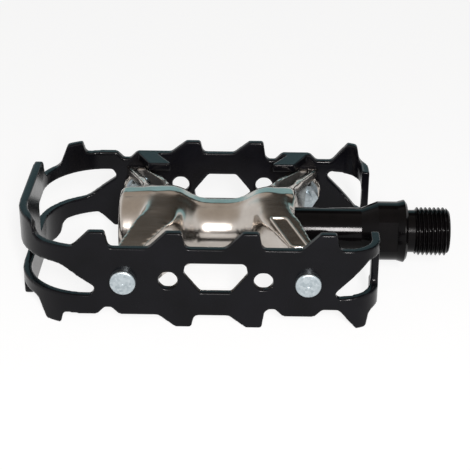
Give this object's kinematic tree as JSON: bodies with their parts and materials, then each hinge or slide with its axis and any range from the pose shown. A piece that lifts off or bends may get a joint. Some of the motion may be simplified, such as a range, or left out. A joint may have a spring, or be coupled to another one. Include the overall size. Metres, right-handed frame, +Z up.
{
  "type": "mountain bike pedal",
  "caption": "Cage pedal for a mountain bike: a folded black toothed sheet cage bolted to a cast aluminium barrel with diagonal arms, turning on a threaded black spindle.",
  "frame": {"origin": "centre of the spindle flange's shoulder face, on the spindle axis, where the crank's face seats", "axes": "+X along the spindle towards the crank, +Z up, square to the cage's flat top, +Y towards the rear plate"},
  "size_m": [0.1241, 0.0706, 0.0292],
  "materials": {
    "black_sheet": "gloss black",
    "cast_aluminium": "polished casting",
    "black_steel": "black satin",
    "bearing_steel": "polished",
    "zinc_steel": "zinc plated",
    "seal_rubber": "matte",
    "cap_plastic": "satin"
  },
  "bodies": {
    "pedal": {"cage": "black_sheet", "body": "cast_aluminium", "inboard_cup": "bearing_steel", "outboard_cup": "bearing_steel", "inboard_seal": "seal_rubber", "dust_cap": "cap_plastic", "cage_bolts": "zinc_steel", "cage_washers": "zinc_steel", "cage_nuts": "zinc_steel"},
    "spindle": {"spindle": "black_steel", "adjusting_cone": "bearing_steel", "lock_washer": "zinc_steel", "locknut": "zinc_steel"},
    "inboard_balls": {"inboard_ball_01": "bearing_steel", "inboard_ball_02": "bearing_steel", "inboard_ball_03": "bearing_steel", "inboard_ball_04": "bearing_steel", "inboard_ball_05": "bearing_steel", "inboard_ball_06": "bearing_steel", "inboard_ball_07": "bearing_steel", "inboard_ball_08": "bearing_steel", "inboard_ball_09": "bearing_steel"},
    "outboard_balls": {"outboard_ball_01": "bearing_steel", "outboard_ball_02": "bearing_steel", "outboard_ball_03": "bearing_steel", "outboard_ball_04": "bearing_steel", "outboard_ball_05": "bearing_steel", "outboard_ball_06": "bearing_steel", "outboard_ball_07": "bearing_steel", "outboard_ball_08": "bearing_steel", "outboard_ball_09": "bearing_steel"}
  },
  "joints": [
    {"name": "spindle_spin", "type": "hinge", "parent": "pedal", "child": "spindle", "pos_m": [0, 0, 0], "axis": [1, 0, 0], "continuous": true},
    {"name": "inboard_balls_orbit", "type": "hinge", "parent": "pedal", "child": "inboard_balls", "pos_m": [-0.0384, 0, 0], "axis": [1, 0, 0], "continuous": true},
    {"name": "outboard_balls_orbit", "type": "hinge", "parent": "pedal", "child": "outboard_balls", "pos_m": [-0.0736, 0, 0], "axis": [1, 0, 0], "continuous": true}
  ],
  "couplings": [
    {"joint": "inboard_balls_orbit", "follows": "spindle_spin", "ratio": 0.39},
    {"joint": "outboard_balls_orbit", "follows": "spindle_spin", "ratio": 0.39}
  ]
}
